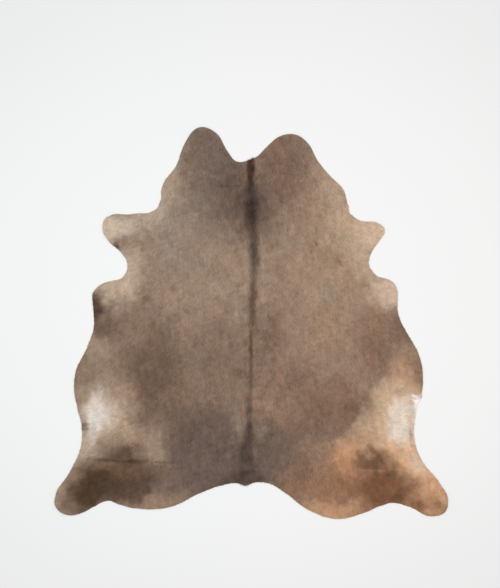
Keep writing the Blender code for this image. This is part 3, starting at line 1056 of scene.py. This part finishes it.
@dataclass
class HairCoat:
    """The short hair: thin closed locks that lie along the nap, rooted all over the hair side."""

    skin: HideSheet
    spacing: float = 0.0042
    jitter: float = 0.75
    width: float = 0.0019
    depth: float = 0.0006
    length_spread: tuple[float, float] = (0.75, 1.2)
    rise: float = 7.5
    rise_spread: float = 3.5
    rise_limits: tuple[float, float] = (2.0, 18.0)
    heading_spread: float = 11.0
    swirl: float = 12.0
    swirl_length: float = 0.11
    lock_depth: float = 0.14
    lock_limit: float = 2.5
    overhang: float = 0.0050
    tuft_stray: float = 0.6
    trim_reach: float = 0.03
    trim_facing: float = 0.05
    sink: float = 0.0002
    floor_gap: float = 0.0003
    search_height: float = 0.1
    faintest: float = 1e-9
    map_margin: float = 0.01
    merge_gap: float = 0.0001
    seed: int = 20
    pieces: list[bpy.types.Object] = field(default_factory=list, init=False)

    def lock_shape(self) -> tuple[np.ndarray, np.ndarray]:
        """One lock of length 1, width 1 and depth 1: a closed three-sided spike that lies along X.

        Returns:
            Its points, and the point numbers of its triangles.
        """
        bm = bmesh.new()
        bmesh.ops.create_cone(
            bm, cap_ends=True, cap_tris=True, segments=3, radius1=1.0, radius2=0.0, depth=1.0
        )
        bmesh.ops.triangulate(bm, faces=bm.faces)
        bmesh.ops.remove_doubles(bm, verts=bm.verts, dist=self.merge_gap)
        bm.normal_update()
        bm.verts.index_update()
        points = np.array([vert.co for vert in bm.verts])
        faces = np.array([[vert.index for vert in face.verts] for face in bm.faces])
        bm.free()
        ring_low = points[points[:, 2] < 0.0]
        along = points[:, 2] + 0.5
        lift = (points[:, 1] - ring_low[:, 1].min()) / np.ptp(ring_low[:, 1])
        aside = points[:, 0] / np.ptp(ring_low[:, 0])
        shape = np.stack([along, aside, np.where(along > 0.5, 0.0, lift)], axis=1)
        return shape, faces

    def guide_table(self) -> np.ndarray:
        """The nap guides of both halves of the coat.

        Returns:
            A row for each: x, y, heading's cosine and sine, length, reach.
        """
        rows = []
        for guide in NAP_GUIDES:
            for side in (1.0, -1.0):
                turn = radians(guide.heading)
                rows.append((side * guide.x, guide.y, side * cos(turn), sin(turn), guide.length, guide.reach))
        return np.array(rows)

    def nap(self, places: np.ndarray) -> tuple[np.ndarray, np.ndarray]:
        """The hair's heading and length at each root.

        Args:
            places: the roots' x and y.

        Returns:
            Unit headings, and lengths in metres.
        """
        heading = np.zeros((len(places), 2))
        length = np.zeros(len(places))
        total = np.zeros(len(places))
        for x, y, east, north, long, reach in self.guide_table():
            away = (places[:, 0] - x) ** 2 + (places[:, 1] - y) ** 2
            share = np.exp(-away / (2.0 * reach**2)) + self.faintest
            heading += share[:, None] * np.array([east, north])
            length += share * long
            total += share
        heading /= np.linalg.norm(heading, axis=1, keepdims=True)
        return heading, length / total

    def scatter(self, draw: np.random.Generator) -> np.ndarray:
        """Roots spread unevenly over the hide's box.

        Args:
            draw: the coat's random numbers.

        Returns:
            Their x and y.
        """
        low = np.min([point[:2] for point in self.skin.rim], axis=0)
        high = np.max([point[:2] for point in self.skin.rim], axis=0)
        across = np.arange(low[0], high[0], self.spacing)
        along = np.arange(low[1], high[1], self.spacing)
        grid = np.stack(np.meshgrid(across, along, indexing="ij"), axis=-1).reshape(-1, 2)
        return grid + draw.uniform(-self.jitter, self.jitter, grid.shape) * self.spacing

    def seat(self, places: np.ndarray) -> tuple[np.ndarray, np.ndarray]:
        """Sets each root on the skin and leaves out those that miss it.

        Args:
            places: the roots' x and y.

        Returns:
            The places of those that stand on the skin, and the skin's normals there.
        """
        body = bmesh.new()
        body.from_mesh(self.skin.sheet.data)
        tree = BVHTree.FromBMesh(body)
        body.free()
        spots, normals = [], []
        down = Vector((0.0, 0.0, -1.0))
        for x, y in places.tolist():
            spot, normal, _, _ = tree.ray_cast(Vector((x, y, self.search_height)), down)
            if spot is not None and normal.z > FACING:
                spots.append(spot)
                normals.append(normal)
        return np.array(spots), np.array(normals)

    def tufted(
        self, spots: np.ndarray, heading: np.ndarray, length: np.ndarray, stray: np.ndarray
    ) -> tuple[np.ndarray, np.ndarray, np.ndarray]:
        """Turns and lengthens the locks of the tufts, and lets them stick out farther.

        Args:
            spots: the roots on the skin.
            heading: their unit headings.
            length: their lengths.
            stray: how far each may hang over the cut edge, as a share of the longest overhang.

        Returns:
            The new headings, the new lengths and the overhangs in metres.
        """
        overhang = np.full(len(spots), self.overhang)
        for tuft in TUFTS:
            away = np.hypot(spots[:, 0] - tuft.x, spots[:, 1] - tuft.y) / tuft.reach
            share = np.sqrt(np.where(away < 1.0, 0.5 + 0.5 * np.cos(pi * away.clip(0.0, 1.0)), 0.0))
            turn = radians(tuft.heading)
            heading = heading * (1.0 - share[:, None]) + np.array([cos(turn), sin(turn)]) * share[:, None]
            heading /= np.linalg.norm(heading, axis=1, keepdims=True)
            length = length * (1.0 - share) + tuft.length * share
            overhang = overhang * (1.0 - share) + tuft.overhang * share
            stray = stray + self.tuft_stray * share * (1.0 - stray)
        return heading, length, overhang * stray

    def trimmed(
        self, spots: np.ndarray, heading: np.ndarray, length: np.ndarray, stray: np.ndarray
    ) -> np.ndarray:
        """Shortens the locks that would hang too far over the cut edge.

        Args:
            spots: the roots on the skin.
            heading: their unit headings.
            length: their lengths.
            stray: how far each may hang over, in metres.

        Returns:
            The new lengths.
        """
        tree = self.skin.rim_tree()
        outward = outward_normals(np.array([point[:2] for point in self.skin.rim]))
        length = length.copy()
        for index, (x, y, _) in enumerate(spots.tolist()):
            _, nearest, gap = tree.find(Vector((x, y, 0.0)))
            if gap < self.trim_reach:
                facing = heading[index, 0] * outward[nearest, 0] + heading[index, 1] * outward[nearest, 1]
                if facing > self.trim_facing:
                    length[index] = min(length[index], (gap + stray[index]) / facing)
        return length

    def build(self) -> list[bpy.types.Object]:
        """Grows the whole coat, one piece for each zone.

        Returns:
            The pieces.
        """
        draw = np.random.default_rng(self.seed)
        spots, normals = self.seat(self.scatter(draw))
        heading, length = self.nap(spots[:, :2])
        heading, length, stray = self.tufted(spots, heading, length, draw.uniform(0.0, 1.0, len(spots)))
        swirls = self.swirl * clouds(spots[:, :2], self.swirl_length, draw)
        turn = np.radians(swirls + draw.normal(0.0, self.heading_spread, len(spots)))
        east = heading[:, 0] * np.cos(turn) - heading[:, 1] * np.sin(turn)
        north = heading[:, 0] * np.sin(turn) + heading[:, 1] * np.cos(turn)
        heading = np.stack([east, north], axis=1)
        length = self.trimmed(spots, heading, length * draw.uniform(*self.length_spread, len(spots)), stray)
        rise = np.radians(draw.normal(self.rise, self.rise_spread, len(spots)).clip(*self.rise_limits))
        tone = draw.normal(0.0, 1.0, len(spots)).clip(-self.lock_limit, self.lock_limit)
        middles = spots[:, :2] + 0.5 * heading * length[:, None]
        coat = CoatColour().seen(middles) * (1.0 + self.lock_depth * tone)[:, None]
        locks = Locks(spots, normals, heading, length, rise, coat)
        finish = HairFinish().material()
        for zone in COAT_ZONES:
            self.pieces.append(new_piece(zone.name, self.joined(zone.name, locks.within(zone)), finish))
        return self.pieces

    def joined(self, name: str, locks: Locks) -> bpy.types.Mesh:
        """Joins a zone's locks into one mesh.

        Args:
            name: the mesh's name.
            locks: the zone's locks.

        Returns:
            The mesh.
        """
        shape, faces = self.lock_shape()
        count = len(locks.spots)
        ahead = np.concatenate([locks.heading, np.zeros((count, 1))], axis=1)
        ahead -= locks.normals * np.sum(ahead * locks.normals, axis=1, keepdims=True)
        ahead /= np.linalg.norm(ahead, axis=1, keepdims=True)
        aside = np.cross(locks.normals, ahead)
        level, steep = np.cos(locks.rise)[:, None], np.sin(locks.rise)[:, None]
        run = ahead * level + locks.normals * steep
        over = locks.normals * level - ahead * steep
        points = (
            (locks.spots - locks.normals * self.sink)[:, None, :]
            + run[:, None, :] * (shape[None, :, 0:1] * locks.length[:, None, None])
            + aside[:, None, :] * (shape[None, :, 1:2] * self.width)
            + over[:, None, :] * (shape[None, :, 2:3] * self.depth)
        )
        points[:, :, 2] = np.maximum(points[:, :, 2], self.floor_gap)
        corners = (faces[None, :, :] + (np.arange(count) * len(shape))[:, None, None]).reshape(-1)
        mesh = bpy.data.meshes.new(name)
        mesh.vertices.add(count * len(shape))
        mesh.vertices.foreach_set("co", points.astype(np.float32).reshape(-1))
        mesh.loops.add(len(corners))
        mesh.loops.foreach_set("vertex_index", corners.astype(np.int32))
        mesh.polygons.add(len(corners) // 3)
        mesh.polygons.foreach_set("loop_start", np.arange(0, len(corners), 3, dtype=np.int32))
        mesh.polygons.foreach_set("use_smooth", np.zeros(len(corners) // 3, dtype=bool))
        mesh.update(calc_edges=True)
        mesh.validate()
        keep_coat(mesh, np.repeat(locks.coat, len(shape), axis=0))
        along = mesh.attributes.new("along", "FLOAT", "POINT")
        along.data.foreach_set("value", np.tile(shape[:, 0], count).astype(np.float32))
        self.lay_map(mesh, points.reshape(-1, 3), corners)
        return mesh

    def lay_map(self, mesh: bpy.types.Mesh, points: np.ndarray, corners: np.ndarray) -> None:
        """Gives a piece a flat map, seen from above.

        Args:
            mesh: the piece's mesh.
            points: its points.
            corners: the point number of each face corner.
        """
        low = points[:, :2].min(axis=0)
        span = points[:, :2].max(axis=0) - low
        flat = self.map_margin + (1.0 - 2.0 * self.map_margin) * (points[:, :2] - low) / span
        layer = mesh.uv_layers.new(name="OFBake")
        layer.data.foreach_set("uv", flat[corners].astype(np.float32).reshape(-1))


@dataclass(frozen=True)
class FloorFinish:
    """The plain pale floor: matt, almost white, with the faintest haze."""

    colour: tuple[float, float, float] = (0.862, 0.862, 0.866)
    haze_scale: float = 0.7
    haze: float = 0.004
    roughness: float = 0.85
    specular: float = 0.1

    def material(self) -> bpy.types.Material:
        """Builds the floor's material.

        Returns:
            The material.
        """
        settings = {"Roughness": self.roughness, "Specular IOR Level": self.specular}
        bench = MaterialBench("pale floor", settings)
        shade = bench.math("ADD", bench.swing(bench.noise(bench.place, self.haze_scale), self.haze), 1.0)
        bench.dress("Base Color", bench.scaled(self.colour, shade))
        return bench.material


@dataclass
class Studio:
    """The plain pale floor, the soft light over it and the camera that looks straight down."""

    camera_x: float = -0.007
    camera_y: float = 0.144
    view_height: float = 2.924
    lens: float = 50.0
    sensor: float = 36.0
    light_height: float = 4.6
    light_size: float = 3.2
    light_offset: float = 1.3
    light_power: float = 93.0
    cool: tuple[float, float, float] = (0.93, 0.98, 1.0)
    warm: tuple[float, float, float] = (1.0, 0.965, 0.925)
    sky: float = 0.43
    floor_half: float = 15.0
    floor_drop: float = 0.0002

    def floor(self) -> bpy.types.Object:
        """Lays the floor.

        Returns:
            The floor's object.
        """
        bm = bmesh.new()
        bmesh.ops.create_grid(bm, x_segments=1, y_segments=1, size=self.floor_half)
        bmesh.ops.translate(bm, verts=bm.verts, vec=(0.0, 0.0, -self.floor_drop))
        mesh = bpy.data.meshes.new("floor")
        bm.to_mesh(mesh)
        bm.free()
        made = new_piece("floor", mesh, FloorFinish().material())
        return made

    def lights(self) -> None:
        """Hangs two large soft lights over the hide, a cooler one on its left, and sets a pale surround."""
        for name, side, colour in (("left light", -1.0, self.cool), ("right light", 1.0, self.warm)):
            lamp = bpy.data.lights.new(name, "AREA")
            lamp.shape = "SQUARE"
            lamp.size = self.light_size
            lamp.energy = self.light_power
            lamp.color = colour
            made = bpy.data.objects.new(name, lamp)
            made.location = (self.camera_x + side * self.light_offset, self.camera_y, self.light_height)
            made.visible_camera = False
            bpy.context.scene.collection.objects.link(made)
        world = bpy.data.worlds.new("pale surround")
        world.use_nodes = True
        backdrop = world.node_tree.nodes["Background"]
        backdrop.inputs["Color"].default_value = (1.0, 1.0, 1.0, 1.0)
        backdrop.inputs["Strength"].default_value = self.sky
        bpy.context.scene.world = world

    def camera(self) -> bpy.types.Object:
        """Sets the camera over the hide, looking straight down.

        Returns:
            The camera's object.
        """
        data = bpy.data.cameras.new("camera")
        data.sensor_fit = "VERTICAL"
        data.sensor_height = self.sensor
        data.lens = self.lens
        data.clip_end = 100.0
        made = bpy.data.objects.new("camera", data)
        made.location = (self.camera_x, self.camera_y, self.lens / self.sensor * self.view_height)
        bpy.context.scene.collection.objects.link(made)
        bpy.context.scene.camera = made
        return made


def report(piece: bpy.types.Object) -> None:
    """Logs a finished piece.

    Args:
        piece: the piece's object.
    """
    low = [min(vert[axis] for vert in piece.bound_box) for axis in range(3)]
    high = [max(vert[axis] for vert in piece.bound_box) for axis in range(3)]
    size = " x ".join(f"{1000.0 * (top - bottom):.1f}" for bottom, top in zip(low, high))
    LOG.info("%s: %d triangles, %s mm", piece.name, len(piece.data.polygons), size)


def main() -> None:
    """Builds the hide, its coat and the studio, and tells the frame what each piece is."""
    logging.basicConfig(level=logging.INFO, format="%(message)s")
    bpy.context.scene.view_settings.view_transform = "Standard"
    skin = HideSheet()
    sheet = skin.build()
    locks = HairCoat(skin).build()
    for piece in (sheet, *locks):
        report(piece)
        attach(piece, "root")
    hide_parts("hide")
    studio = Studio()
    studio.floor()
    studio.lights()
    studio.camera()


if __name__ == "__main__":
    main()
